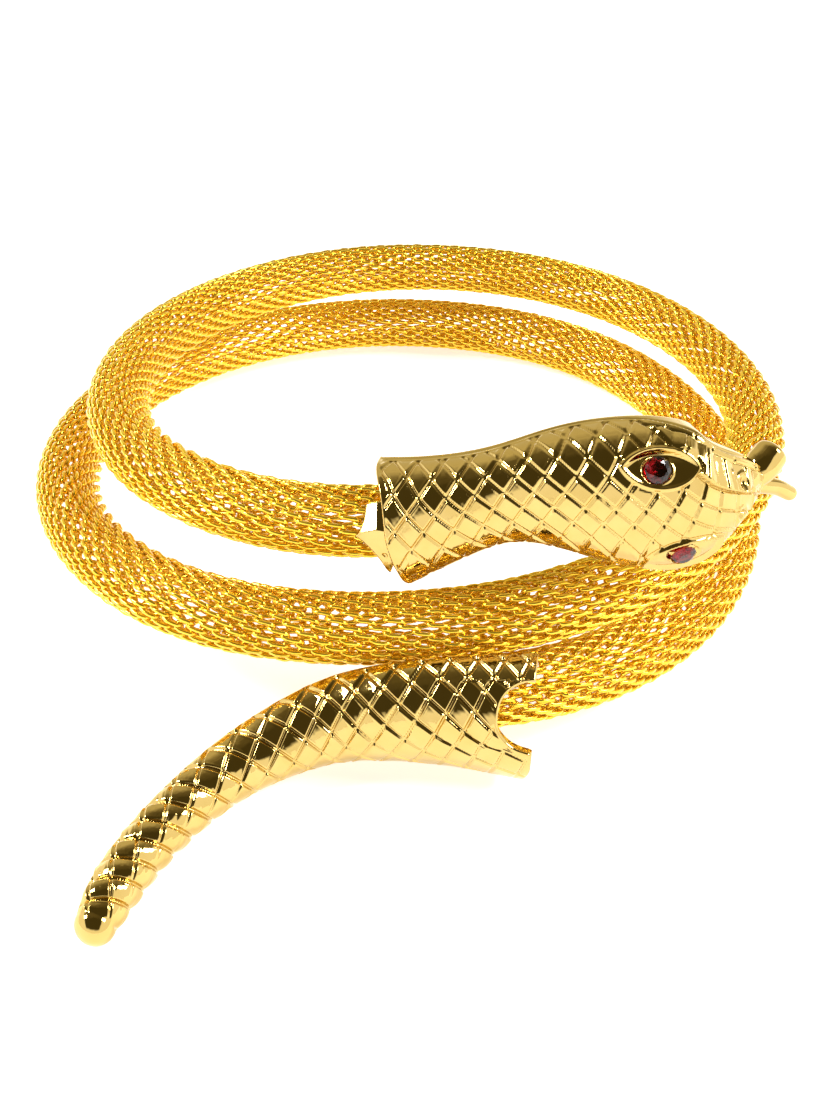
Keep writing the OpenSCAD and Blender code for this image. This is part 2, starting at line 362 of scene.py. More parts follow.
ROUTE = [
    [-90, 30.3, 20.9, 3.40], [-135, 31.4, 18.7, 3.42], [-180, 33.1, 15.8, 3.50],
    [-225, 35.4, 13.8, 3.34], [-270, 38.2, 12.6, 3.18], [-315, 39.8, 12.3, 3.12],
    [-360, 39.1, 12.8, 3.20], [-405, 36.6, 13.4, 3.38], [-450, 35.3, 12.1, 3.46],
    [-495, 38.3, 10.6, 3.56], [-540, 39.8, 7.3, 3.56], [-585, 39.9, 4.6, 3.50],
    [-630, 38.7, 3.6, 3.46], [-675, 38.4, 3.55, 3.46], [-720, 37.4, 3.6, 3.50],
    [-765, 37.9, 4.6, 3.58], [-810, 40.1, 8.2, 3.40]]
MESH_FROM, MESH_TO = -87.4, -805.0


def mesh_axis(a):
    a = np.asarray(a, float)
    u = (-90 - a) / 45
    r = spline(ROUTE, np.maximum(u, 0))
    first = np.asarray(ROUTE[0], float)
    slope = first - np.asarray(ROUTE[1], float)
    r = r + np.where(u < 0, -u, 0)[..., None] * slope
    c = np.radians(a)
    return np.stack([r[..., 1] * np.cos(c), r[..., 1] * np.sin(c), r[..., 2]], -1)


def mesh_half(a):
    return spline(ROUTE, np.maximum((-90 - np.asarray(a, float)) / 45, 0))[..., 3]


def mesh_frame(a):
    p = mesh_axis(a)
    t = unit(mesh_axis(a - 0.5) - mesh_axis(a + 0.5))
    flat = p * np.array([1, 1, 0])
    o = unit(flat - (flat * t).sum(-1, keepdims=True) * t)
    return p, t, o, np.cross(t, o)


# length along the tube against angle
ANG = np.linspace(MESH_FROM, MESH_TO, 4001)
SEG = np.linalg.norm(np.diff(mesh_axis(ANG), axis=0), axis=1)
LEN = np.concatenate([[0], np.cumsum(SEG)])


def angle_at(s):
    return np.interp(s, LEN, ANG)


WIRE_R = 0.222     # radius of the wire
PITCH = 1.27        # from spiral to spiral along the tube
TURNS = 15          # turns of a spiral round the tube
STEPS = 11          # points in each turn
SIDES = 5
SPIRAL_W = 1.44     # width of a spiral as a part of the pitch
SPIRAL_H = 0.66     # height of a spiral, centre to centre of the wire
LEAN = 0.62         # how much flatter the strands run in their middles


def wire_mesh():
    n_sp = int((LEN[-1] - 1.6) // PITCH)
    first = 0.5 * (LEN[-1] - (n_sp - 1) * PITCH)
    nt = TURNS * STEPS
    phi = np.arange(nt) * 2 * math.pi / STEPS
    rng = np.random.default_rng(7)
    k = np.arange(n_sp)
    ph = phi[None] + (k % 2)[:, None] * 0.0
    cs, sn = np.cos(ph), np.sin(ph)
    x = SPIRAL_W * PITCH / 2 * cs
    h = SPIRAL_H / 2 * np.sign(sn) * np.abs(sn) ** 0.85
    turn = ph / (2 * math.pi) + LEAN / (4 * math.pi) * np.sin(2 * ph) + 0.5 * (k % 2)[:, None]
    turn = turn + rng.normal(0, 0.012, x.shape)
    x = x + rng.normal(0, 0.014, x.shape)
    h = h + rng.normal(0, 0.014, x.shape)
    th = -turn * 2 * math.pi / TURNS
    s = first + k[:, None] * PITCH + x
    a = angle_at(s)
    p, t, o, v = mesh_frame(a)
    rad = (mesh_half(a) - SPIRAL_H / 2 - WIRE_R + h)[..., None]
    pts = p + rad * (np.cos(th)[..., None] * o + np.sin(th)[..., None] * v)
    # frames along each closed spiral
    tan = unit(np.roll(pts, -1, 1) - np.roll(pts, 1, 1))
    side = unit(np.cross(tan, unit(pts - p)))
    up = np.cross(side, tan)
    j = np.arange(SIDES) * 2 * math.pi / SIDES
    ring = (pts[:, :, None] + WIRE_R * (np.cos(j)[None, None, :, None] * side[:, :, None]
                                        + np.sin(j)[None, None, :, None] * up[:, :, None]))
    parts = 4
    cuts = np.linspace(0, n_sp, parts + 1).astype(int)
    i = np.arange(nt)
    jj = np.arange(SIDES)
    aa = (i[:, None] * SIDES + jj[None])
    bb = (i[:, None] * SIDES + (jj[None] + 1) % SIDES)
    cc = (((i[:, None] + 1) % nt) * SIDES + (jj[None] + 1) % SIDES)
    dd = (((i[:, None] + 1) % nt) * SIDES + jj[None])
    one = np.stack([aa, dd, cc, bb], -1).reshape(-1, 4)
    for q in range(parts):
        part = ring[cuts[q]:cuts[q + 1]]
        m = len(part)
        quads = (np.arange(m)[:, None, None] * nt * SIDES + one[None]).reshape(-1, 4)
        ob = make_mesh("wire_mesh_%d" % (q + 1), part.reshape(-1, 3), quads=quads, mats=[WIRE])
        piece(ob, "mesh_tube")


wire_mesh()

# ---------------------------------------------------------------- castings

WALL_FROM = 0.84


def superdome(par, w, h, drop, power, cut=0.0):
    """Dome point for par from -1 to 1: distances along S and D."""
    k = WALL_FROM if drop is not None else 1.0
    t = math.pi / 2 * np.clip(par / k, -1, 1)
    d = np.clip((np.abs(par) - k) / (1 - k), 0, 1) if drop is not None else 0.0
    a = (w - cut) * np.sign(np.sin(t)) * np.abs(np.sin(t)) ** power
    b = (h - cut) * np.maximum(np.cos(t), 0) ** power
    if drop is not None:
        b = b - drop * d
    return a, b


def even_columns(n, w, h, drop, power):
    """n values of par, evenly spaced along the dome's outline."""
    par = np.linspace(-1, 1, 4001)
    a, b = superdome(par, w, h, drop, power)
    s = np.concatenate([[0], np.cumsum(np.hypot(np.diff(a), np.diff(b)))])
    return np.interp(np.linspace(0, s[-1], n), s, par)


HEAD_ROWS = [
    [-1.5, -30.5, 20.8, 5.9, 0.82, 16], [3.0, -31.2, 22.7, 4.8, 0.84, 13],
    [8.0, -31.6, 24.6, 4.2, 0.86, 12], [13.5, -31.9, 25.6, 5.6, 0.82, 11],
    [19.0, -32.0, 25.3, 6.7, 0.76, 11], [24.0, -31.7, 24.4, 6.4, 0.72, 12],
    [27.6, -30.6, 24.5, 4.1, 0.70, 13], [29.5, -29.6, 24.4, 2.6, 0.72, 13],
    [30.6, -29.0, 24.2, 1.65, 0.75, 14]]
HEAD_DROP = 1.2
HEAD_TAB = smooth_table(HEAD_ROWS, 0.28)


def head_frame(u):
    r = HEAD_TAB(u)
    p = r[..., :3]
    t = unit(HEAD_TAB(u + 0.04)[..., :3] - HEAD_TAB(u - 0.04)[..., :3])
    z = np.array([0.0, 0.0, 1.0])
    o = unit(np.cross(t, z))
    v = np.cross(o, t)
    q = np.radians(r[..., 5])[..., None]
    return p, t, -np.sin(q) * o + np.cos(q) * v, np.cos(q) * o + np.sin(q) * v


def head_point(u, par, cut=0.0):
    r = HEAD_TAB(u)
    p, t, S, D = head_frame(u)
    w = r[..., 3]
    a, b = superdome(par, w, w * r[..., 4], HEAD_DROP * np.minimum(1, w / 4), 0.9, cut)
    return p + a[..., None] * S + b[..., None] * D


def grid_quads(m, n, base=0, flip=False):
    i, j = np.meshgrid(np.arange(m - 1), np.arange(n - 1), indexing="ij")
    a = base + i * n + j
    q = np.stack([a, a + 1, a + n + 1, a + n], -1).reshape(-1, 4)
    return q[:, ::-1] if flip else q


def grid_normals(P):
    du = np.gradient(P, axis=0)
    dv = np.gradient(P, axis=1)
    return unit(np.cross(dv, du))


def axis_length(point, n, m=901):
    u = np.linspace(0, n, m)
    s = np.concatenate([[0], np.cumsum(np.linalg.norm(np.diff(point(u), axis=0), axis=1))])
    return lambda x: np.interp(x, u, s), lambda x: np.interp(x, s, u)


def groove(d, half, depth, lip=0.03):
    """Cut of a rounded V groove at distance d from its middle, with raised lips."""
    x = np.clip(1 - d / half, 0, 1)
    return -depth * x ** 1.2 + lip * np.exp(-((d - half * 1.15) / 0.09) ** 2)


def band(x, a, b, soft):
    """1 between a and b, falling to 0 over soft on each side."""
    return step01((x - a) / soft + 0.5) * step01((b - x) / soft + 0.5)


def shell(name, node, point, width, relief, cols, s_of, u_of, n, socket, rows_socket, rows_rest,
          mouth_edge, wall, back, nose, nose_len, nb):
    """Casting made from a dome over a back: an open socket at the mouth, then a closed body and a rounded end."""
    nc = len(cols)
    ms = rows_socket
    # distance from the crown along the section at the mouth sets the mouth's edge
    p0 = point(np.full(nc, 0.15), cols)
    q0 = np.concatenate([[0], np.cumsum(np.linalg.norm(np.diff(p0, axis=0), axis=1))])
    q0 = q0 - np.interp(0, cols, q0)
    u0 = u_of(mouth_edge(q0))
    f = np.linspace(0, 1, ms, endpoint=False)[:, None]
    U = np.concatenate([u0[None] * (1 - f) + socket * f,
                        np.repeat(np.linspace(socket, n, rows_rest)[:, None], nc, 1)])
    nr = ms + rows_rest
    C = np.repeat(cols[None], nr, 0)
    P = point(U, C)
    N = unit(np.cross(np.gradient(P, axis=1), np.gradient(P, axis=0)))
    if (N[nr // 2, nc // 2] * (P[nr // 2, nc // 2] - P[nr // 2].mean(0))).sum() < 0:
        N = -N
    step = np.linalg.norm(np.diff(P, axis=1), axis=2)
    Q = np.concatenate([np.zeros((nr, 1)), np.cumsum(step, 1)], 1)
    mid = np.argmin(np.abs(cols))
    zero = Q[:, mid:mid + 1] - (cols[mid] / (cols[mid + 1] - cols[mid])) * (Q[:, mid + 1:mid + 2] - Q[:, mid:mid + 1])
    Q = Q - zero
    S = s_of(U)
    edge = np.repeat(mouth_edge(q0)[None], nr, 0)
    outer = P + relief(S, Q, C, width(U), S - edge)[..., None] * N
    inner = point(U[:ms + 1], C[:ms + 1], wall)
    verts = [outer.reshape(-1, 3), inner.reshape(-1, 3)]
    bi = nr * nc
    quads = [grid_quads(nr, nc), grid_quads(ms + 1, nc, bi, flip=True)]
    j = np.arange(nc - 1)
    quads.append(np.stack([j, bi + j, bi + j + 1, j + 1], -1))
    i = np.arange(ms)
    for side in (0, nc - 1):
        a = i * nc + side
        b = bi + i * nc + side
        q = np.stack([a, a + nc, b + nc, b], -1)
        quads.append(q if side == 0 else q[:, ::-1])
    bb = bi + (ms + 1) * nc
    e = np.linspace(0, math.pi, nb + 2)[1:-1]
    B = back(U[ms:, 0], e)
    verts.append(B.reshape(-1, 3))
    m = len(B)
    idx = np.concatenate([((ms + np.arange(m)) * nc + nc - 1)[:, None],
                          bb + np.arange(m)[:, None] * nb + np.arange(nb)[None],
                          ((ms + np.arange(m)) * nc)[:, None]], 1)
    quads.append(np.stack([idx[:-1, :-1].ravel(), idx[:-1, 1:].ravel(), idx[1:, 1:].ravel(), idx[1:, :-1].ravel()], -1))
    inner_ring = bi + ms * nc + np.arange(nc)[::-1]
    k = np.round(np.linspace(0, nb + 1, nc)).astype(int)
    bo = idx[0][k]
    tris = []
    for q in range(nc - 1):
        tris.append((inner_ring[q], inner_ring[q + 1], bo[q + 1]))
        if bo[q] != bo[q + 1]:
            tris.append((inner_ring[q], bo[q + 1], bo[q]))
    last = np.concatenate([(nr - 1) * nc + np.arange(nc), idx[-1][1:-1]])
    centre, ahead = nose
    ring = np.concatenate(verts)[last]
    prev = last
    total = sum(len(v) for v in verts)
    nl = len(last)
    nx = np.roll(np.arange(nl), -1)
    for kk in (0.1, 0.2, 0.3, 0.42, 0.54, 0.66, 0.77, 0.86, 0.93, 0.98):
        verts.append(centre + (ring - centre) * math.sqrt(1 - kk * kk) + nose_len * kk * ahead)
        cur = total + np.arange(nl)
        total += nl
        quads.append(np.stack([prev, prev[nx], cur[nx], cur], -1))
        prev = cur
    verts.append((centre + nose_len * ahead)[None])
    tris += list(zip(prev, prev[nx], np.full(nl, total)))
    ob = make_mesh(name, np.concatenate(verts), quads=np.concatenate(quads), tris=np.array(tris), mats=[CAST])
    return piece(ob, node)


# ---- head

head_s, head_u = axis_length(lambda u: HEAD_TAB(u)[:, :3], 8)

# Eyes on the head's skin: millimetres along the axis and round from the
# crown, half length, half height, turn in degrees, and the stone's place
# as rows along the axis and part of the dome
EYES = {
    "upper": (22.3, 4.30, 2.85, 1.60, 4.0, 4.1, 34.5),
    "lower": (25.75, -4.35, 2.90, 1.75, 32.0, 4.85, -34.5)}
RIM = [[0.86], [0.86], [0.86], [0.85], [0.86], [0.88], [0.88], [0.84], [0.74], [0.63], [0.55], [0.50]]


def head_lattice(s, q):
    """Two families of slanting grooves, as whole numbers on their lines."""
    S = s - 15
    qq = np.clip(q, -5, 5)
    curve = 0.0045 * (qq ** 3 + (q - qq) * 75)
    n = 2.14 + 0.005 * S + 0.0064 * S * S - 0.73 * q + curve - 0.012 * qq * q + 0.0008 * qq * S * S
    m = 10.34 + 0.825 * S + 0.16 * q + 0.0257 * S * qq
    return (m + n) / 2, (m - n) / 2


def eye_distance(s, q, e):
    cs, cq, L, H, turn = EYES[e][:5]
    c, si = math.cos(math.radians(turn)), math.sin(math.radians(turn))
    x = (s - cs) * c + (q - cq) * si
    y = -(s - cs) * si + (q - cq) * c
    R = (L * L + H * H) / (2 * H)
    return np.hypot(x, np.abs(y) + R - H) - R, x, y


def head_arc(u, par):
    """Millimetres round from the crown."""
    ps = np.linspace(0, par, 200)
    a = head_point(np.full(200, u), ps)
    return math.copysign(np.linalg.norm(np.diff(a, axis=0), axis=1).sum(), par)


STONES = {e: (head_s(v[5]), head_arc(v[5], v[6] / 90 * WALL_FROM)) for e, v in EYES.items()}


def head_relief(s, q, par, w, edge):
    A, B = head_lattice(s, q)
    dA = np.abs(A - np.round(A)) * 1.95
    dB = np.abs(B - np.round(B)) * 1.95
    d = np.minimum(dA, dB)
    rim = spline(RIM, np.clip(s / 3, 0, 11))[..., 0]
    rim_q = q * rim / np.where(np.abs(par) < 1e-4, 1e-4, par)          # where the rim is, round from the crown
    to_rim = np.where(par > 0.05, rim_q - q, 9.0)
    skin = 0.014 * np.cos(math.pi * (A - np.round(A))) * np.cos(math.pi * (B - np.round(B)))
    high = step01((q - 0.3) / 3.0)
    cut = groove(d, 0.19 + 0.05 * high, 0.25 - 0.04 * high, 0.025 + 0.02 * high)
    cut = cut * (1 - 0.65 * step01((-0.36 - par) / 0.26) * step01((23 - s) / 4))
    cut = cut * (1 + 0.25 * step01((s - 19) / 4))
    # plain places: the band at the mouth, the rim, the eyes, the lower edge
    clear = step01((edge - 0.22) / 0.2) * step01((to_rim - 0.10) / 0.15)
    strip = step01((s - 20.5) / 1.0)
    above = step01((B - 10.0) / 0.08) * step01((s - 21) / 0.5) * step01((q - 0.2) / 0.5)
    near = np.ones_like(s)
    h = np.zeros_like(s)
    for e in EYES:
        sd, x, y = eye_distance(s, q, e)
        near = near * step01((sd - 0.28) / 0.2)
        above = above * step01((sd - 0.2) / 0.2)
        rc = np.hypot(s - STONES[e][0], q - STONES[e][1])
        h = h + (0.20 if e == "upper" else 0.28) * np.exp(-((sd - 0.14) / 0.14) ** 2)
        h = h - (0.06 if e == "upper" else 0.14) * np.exp(-((sd - 0.40) / 0.11) ** 2)
        inside = step01((0.02 - sd) / 0.28)
        if e == "upper":
            bowl = (-0.36 - 0.19 * y + 0.050 * x * x) * inside
        else:
            bowl = (-0.22 - 0.06 * y + 0.015 * x * x) * inside
        bezel = 0.11 * np.exp(-((rc - 1.21) / 0.07) ** 2) * step01((0.3 - sd) / 0.3)
        pocket = -0.40 * step01((1.14 - rc) / 0.09)
        h = h + bowl + np.where(sd < 0.5, pocket + bezel, 0)
    fade = step01((par + 0.96) / 0.16)
    h = h + (cut + skin) * clear * near * fade * (1 - above)
    # oblong scales between the eye and the rim
    k = (s - 21.3) / 2.45 - 0.08 * (q - 5)
    dk = np.abs(k - np.round(k)) * 2.45
    to_strip = to_rim - 0.62
    plates = step01((s - 17.5) / 0.8) * above * step01((to_strip) / 0.15)
    plate = 0.20 * np.cos(math.pi * (k - np.round(k)))
    h = h + (groove(np.minimum(dk, np.abs(to_strip)), 0.20, 0.18, 0.04) + plate) * plates * near
    # their lower edges stand out over the row below
    lift = (B - 10.0) * 1.95
    h = h + (0.38 * step01(lift / 0.16) * np.exp(-(np.maximum(lift, 0) / 1.2) ** 2)
             * band(s, 23.5, 31.0, 2.0) * step01((q - 0.3) / 0.6) * step01(to_strip / 0.5) * near)
    # narrow scales between the rim and the strip on the snout
    j = (s - 20.3) / 2.45
    dj = np.abs(j - np.round(j)) * 2.45
    h = h - 0.20 * step01(1 - dj / 0.17) * band(to_rim, 0.12, 0.55, 0.1) * strip
    edge_line = np.abs(B - 10.0) * 1.95
    h = h + groove(edge_line, 0.18, 0.20, 0.05) * band(s, 24.6, 31.5, 0.6) * step01((q - 0.3) / 0.6) * near
    # rim: a fine ridge, a hollow band outside it, and a thin strip on the snout
    on = step01((edge - 0.3) / 0.4)
    h = h + (0.09 + 0.06 * strip) * np.exp(-(to_rim / (0.11 + 0.06 * strip)) ** 2) * on
    h = h - 0.13 * band(-to_rim, 0.28, 0.85, 0.22) * on
    h = h + groove(np.abs(to_strip - 0.05), 0.32, 0.24, 0.03) * strip * step01((to_rim + 0.1) / 0.2)
    # rounded edge at the mouth
    h = h + 0.05 * np.exp(-((edge - 0.16) / 0.12) ** 2)
    r = 0.20
    x = np.clip(r - edge, 0, r)
    h = h - (r - np.sqrt(np.maximum(r * r - x * x, 0)))
    # nostrils and the small folds over them
    for ns, nq in ((30.0, 1.75), (30.2, -1.35)):
        rr = np.hypot((s - ns) * 1.0, (q - nq) * 0.75)
        h = h - 0.30 * np.exp(-(rr / 0.28) ** 2) + 0.14 * np.exp(-((rr - 0.55) / 0.2) ** 2)
    h = h + 0.16 * np.exp(-((s - 29.2 - 0.15 * (q - 2.2)) / 0.20) ** 2) * band(q, 1.2, 3.2, 0.5)
    return h


def head_back(u, e):
    p, t, S, D = head_frame(u)
    w = HEAD_TAB(u)[:, 3]
    dr = HEAD_DROP * np.minimum(1, w / 4)
    return (p[:, None] + (w[:, None] * np.cos(e))[..., None] * S[:, None]
            + (-dr[:, None] - 0.4 * np.sin(e))[..., None] * D[:, None])


def head_mouth(q):
    return 0.85 * np.exp(-((q - 3.8) / 3.8) ** 2) - 0.40 * step01((-q - 3.5) / 3.0)


def build_head():
    pl, tl, Sl, Dl = head_frame(np.array(8.0))
    shell("head_casting", "snake_head", head_point, lambda u: HEAD_TAB(u)[..., 3], head_relief,
          even_columns(171, 5.4, 4.4, 1.2, 0.9), head_s, head_u, 8, 0.94, 46, 318,
          head_mouth, 0.8, head_back, (pl - 0.2 * Dl, tl), 0.8, 20)


build_head()


def rod(path, radii, flat=1.0, up=(0, 0, 1), sides=28, steps=40, blunt=2.0):
    """Closed rod along a smooth path with rounded ends; returns verts and faces."""
    path, radii = np.asarray(path, float), np.asarray(radii, float)
    u = np.linspace(0, len(path) - 1, steps)
    c = spline(path, u)
    r = spline(radii[:, None], u)[:, 0]
    t = unit(np.gradient(c, axis=0))
    b = unit(np.cross(t, np.array(up, float)))
    n = np.cross(b, t)
    # half spheres at the ends
    k = np.sin(np.linspace(0, math.pi / 2, 7))[:-1][::-1]
    out = 1.0 if blunt == 2.0 else 0.62
    c = np.concatenate([[c[0] - t[0] * r[0] * x for x in k], c, [c[-1] + t[-1] * r[-1] * x * out for x in k[::-1]]])
    r = np.concatenate([[r[0] * math.sqrt(1 - x * x) for x in k], r,
                        [r[-1] * (1 - x ** blunt) ** (1 / blunt) for x in k[::-1]]])
    pad = len(k)
    b = np.concatenate([np.repeat(b[:1], pad, 0), b, np.repeat(b[-1:], pad, 0)])
    n = np.concatenate([np.repeat(n[:1], pad, 0), n, np.repeat(n[-1:], pad, 0)])
    a = np.linspace(0, 2 * math.pi, sides, endpoint=False)
    v = c[:, None] + r[:, None, None] * (np.cos(a)[None, :, None] * b[:, None] + flat * np.sin(a)[None, :, None] * n[:, None])
    m = len(c)
    i, j = np.meshgrid(np.arange(m - 1), np.arange(sides), indexing="ij")
    q = np.stack([i * sides + j, i * sides + (j + 1) % sides, (i + 1) * sides + (j + 1) % sides, (i + 1) * sides + j], -1).reshape(-1, 4)
    tri = [(0, (x + 1) % sides, x) for x in range(1, sides - 1)]
    tri = [(0, x + 1, x) for x in range(1, sides - 1)]
    base = (m - 1) * sides
    tri += [(base, base + x, base + x + 1) for x in range(1, sides - 1)]
    return v.reshape(-1, 3), q[:, ::-1], np.array(tri)


def build_tongue():
    v1, q1, t1 = rod([(29.8, -29.1, 24.0), (30.5, -28.8, 24.6), (31.3, -28.3, 25.3), (32.05, -27.6, 25.9)],
                     [1.1, 1.4, 1.66, 1.62], blunt=3.0)
    v2, q2, t2 = rod([(30.4, -28.8, 23.6), (32.0, -28.1, 23.05), (33.6, -27.4, 22.3), (35.0, -27.0, 21.35)],
                     [0.80, 0.80, 0.79, 0.74])
    n = len(v1)
    ob = make_mesh("tongue", np.concatenate([v1, v2]), quads=np.concatenate([q1, q2 + n]),
                   tris=np.concatenate([t1, t2 + n]), mats=[CAST])
    rm = ob.modifiers.new("join", "REMESH")
    rm.mode = "VOXEL"
    rm.voxel_size = 0.11 * MM
    rm.use_smooth_shade = True
    sm = ob.modifiers.new("even", "SMOOTH")
    sm.factor = 0.5
    sm.iterations = 14
    apply_all(ob)
    ob.data.materials.clear()
    ob.data.materials.append(CAST)
    piece(ob, "snake_head")


def apply_all(ob):
    dg = bpy.context.evaluated_depsgraph_get()
    me = bpy.data.meshes.new_from_object(ob.evaluated_get(dg))
    old = ob.data
    ob.modifiers.clear()
    ob.data = me
    bpy.data.meshes.remove(old)


build_tongue()

# ---- eye stones: a faceted crown over a pointed pavilion


def build_stone(name, e):
    u, deg = EYES[e][5:7]
    par = deg / 90 * WALL_FROM
    c = head_point(np.array(u), np.array(par))
    du = head_point(np.array(u + 0.1), np.array(par)) - head_point(np.array(u - 0.1), np.array(par))
    dv = head_point(np.array(u), np.array(par + 0.02)) - head_point(np.array(u), np.array(par - 0.02))
    z = unit(np.cross(du, dv))
    f = head_frame(np.array(u))
    if (z * f[3]).sum() < 0:
        z = -z
    x = unit(du - (du * z).sum() * z)
    y = np.cross(z, x)

    def ring(n, r, h, off):
        a = (np.arange(n) + off) * 2 * math.pi / n
        return np.stack([r * np.cos(a), r * np.sin(a), np.full(n, h)], -1)
    table, mid = ring(8, 0.65, 0.38, 0), ring(8, 0.93, 0.24, 0.5)
    g1, g2 = ring(16, 1.14, 0.03, 0), ring(16, 1.14, -0.08, 0)
    pav = ring(8, 0.55, -0.42, 0.5)
    culet = np.array([[0, 0, -0.62]])
    loc = np.concatenate([table, mid, g1, g2, pav, culet])
    v = c + loc[:, :1] * x + loc[:, 1:2] * y + loc[:, 2:] * z
    T, M, G, H, K, Z = 0, 8, 16, 32, 48, 56
    faces = [tuple(range(8))]
    for i in range(8):
        j = (i + 1) % 8
        faces.append((T + i, M + i, T + j))
        h = (i - 1) % 8
        faces.append((T + i, M + h, G + 2 * i, M + i))
        faces.append((M + i, G + 2 * i, G + 2 * i + 1))
        faces.append((M + i, G + 2 * i + 1, G + (2 * i + 2) % 16))
        faces.append((K + i, H + 2 * i + 1, H + 2 * i))
        faces.append((K + i, H + (2 * i + 2) % 16, H + 2 * i + 1))
        faces.append((K + h, K + i, H + 2 * i))
        faces.append((K + i, K + h, Z))
    for i in range(16):
        j = (i + 1) % 16
        faces.append((G + i, H + i, H + j, G + j))
    me = bpy.data.meshes.new(name)
    me.from_pydata([tuple(float(k) * MM for k in p) for p in v], [], faces)
    me.materials.append(STONE)
    ob = bpy.data.objects.new(name, me)
    bpy.context.scene.collection.objects.link(ob)
    import bmesh
    bm = bmesh.new()
    bm.from_mesh(me)
    bmesh.ops.recalc_face_normals(bm, faces=bm.faces)
    bm.to_mesh(me)
    bm.free()
    piece(ob, "eye_stone_" + e)


build_stone("stone_upper", "upper")
build_stone("stone_lower", "lower")

# ---- tail

TAIL_ROWS = [
    [11.4, -41.6, 6.80, 0.84, 0.25, 6, 0.70], [5.0, -40.6, 6.00, 0.84, 0.25, 6, 1.05],
    [-1.0, -40.1, 5.35, 0.84, 0.25, 5, 1.15], [-7.1, -40.0, 4.45, 0.86, 0.30, 14, 0.80],
    [-12.1, -41.6, 3.65, 0.90, 0.40, 22, 0.40], [-16.5, -44.3, 3.00, 0.95, 0.60, 30, 0.15],
    [-20.1, -48.1, 2.60, 1.00, 0.80, 38, 0.05], [-23.1, -52.6, 2.35, 1.00, 0.90, 46, 0.05],
    [-25.1, -57.0, 2.20, 1.00, 0.95, 52, 0.05], [-26.0, -60.0, 1.75, 1.00, 1.00, 55, 0.05]]
TAIL_TAB = smooth_table(TAIL_ROWS, 0.28)


def tail_frame(u):
    r = TAIL_TAB(u)
    d = TAIL_TAB(u + 0.04)[..., :2] - TAIL_TAB(u - 0.04)[..., :2]
    t = unit(np.concatenate([d, 0 * d[..., :1]], -1))
    o = -np.cross(t, np.array([0.0, 0.0, 1.0]))
    q = np.radians(r[..., 5])
    z = np.zeros(q.shape + (3,))
    z[..., 2] = 1
    S = -np.sin(q)[..., None] * o + np.cos(q)[..., None] * z
    D = np.cos(q)[..., None] * o + np.sin(q)[..., None] * z
    w = r[..., 2]
    low = np.hypot(w * np.cos(q), w * r[..., 4] * np.sin(q))
    p = np.concatenate([r[..., :2], (r[..., 6] + low + 0.02)[..., None]], -1)
    return p, t, S, D


def tail_point(u, par, cut=0.0):
    r = TAIL_TAB(u)
    p, t, S, D = tail_frame(u)
    w = r[..., 2]
    a, b = superdome(par, w, w * r[..., 3], None, 1.0, cut)
    return p + a[..., None] * S + b[..., None] * D


tail_s, tail_u = axis_length(lambda u: tail_frame(u)[0], 9)
TAIL_END = float(tail_s(9))


def tail_lattice(s, q):
    S = s - 22
    a = 5.43 - 0.014 * S + 0.0051 * S * S - 0.574 * q - 0.0027 * S * q - 0.0035 * q * q
    b = 8.55 + 0.66 * S + 0.0009 * S * S + 0.00004 * S ** 3 + 0.013 * S * q
    return (a - b) / 2, (a + b) / 2


def tail_relief(s, q, par, w, edge):
    A, B = tail_lattice(s, q)
    tip = step01((s - 27) / 12)
    fa, fb = A - np.round(A), B - np.round(B)
    dA, dB = np.abs(fa) * 2.15, np.abs(fb) * 2.15
    low = step01((q + 5.4 - 2.4 * tip) / 1.4)
    plain = step01((edge - 0.25) / 0.2)
    high = step01((q - 0.2) / 3.0)
    ga = groove(dA, 0.20 + 0.05 * high, 0.28 - 0.10 * tip, 0.03)
    ga = ga * (1 - 0.75 * tip * step01((0.4 - q) / 1.2))
    gb = groove(dB, 0.21 + 0.05 * high + 0.03 * tip, 0.28 - 0.04 * tip, 0.03)
    side = 0.25 + 0.75 * low
    h = np.where((ga < 0) | (gb < 0), np.minimum(np.minimum(ga, gb), 0), np.maximum(ga, gb))
    h = h * side * plain
    # towards the tip each scale swells and its far edge stands over the next
    swell = np.cos(math.pi * fb) * (0.5 + 0.5 * np.cos(math.pi * fa))
    saw = (B - np.floor(B))
    hump = 1 - (2 * saw - 1) ** 2
    h = h + 0.015 * swell * plain * (0.6 + 0.4 * side)
    h = h + tip * (0.26 * hump + 0.16 * (1 - saw) * step01(saw / 0.13)) * plain
    h = h + 0.05 * tip * np.cos(math.pi * fa) * plain
    h = h - 0.26 * tip
    r = 0.20
    x = np.clip(r - edge, 0, r)
    h = h - (r - np.sqrt(np.maximum(r * r - x * x, 0)))
    end = step01((s - TAIL_END + 0.5) / 0.5)
    return h * (1 - end)


def tail_mouth(q):
    x = np.abs((q - 3.30) / 3.45)
    arch = 3.0 * np.sqrt(np.maximum(1 - x ** 2.5, 0))
    base = 0.20 + 0.28 * step01((q - 0.5) / 2) + 0.11 * np.maximum(-q - 2.5, 0) ** 1.5
    return base + arch


def tail_back(u, e):
    p, t, S, D = tail_frame(u)
    r = TAIL_TAB(u)
    w = r[:, 2]
    return (p[:, None] + (w[:, None] * np.cos(e))[..., None] * S[:, None]
            - (w * r[:, 4])[:, None, None] * np.sin(e)[None, :, None] * D[:, None])


def build_tail():
    pl, tl, Sl, Dl = tail_frame(np.array(9.0))
    ahead = unit(tl + np.array([0.0, 0.0, -0.12]))
    shell("tail_casting", "snake_tail", tail_point, lambda u: TAIL_TAB(u)[..., 2], tail_relief,
          even_columns(151, 5.0, 4.4, None, 1.0), tail_s, tail_u, 9, 1.66, 92, 330,
          tail_mouth, 0.8, tail_back, (pl, ahead), 1.5, 24)


build_tail()

# ---- clip on the mesh at the head

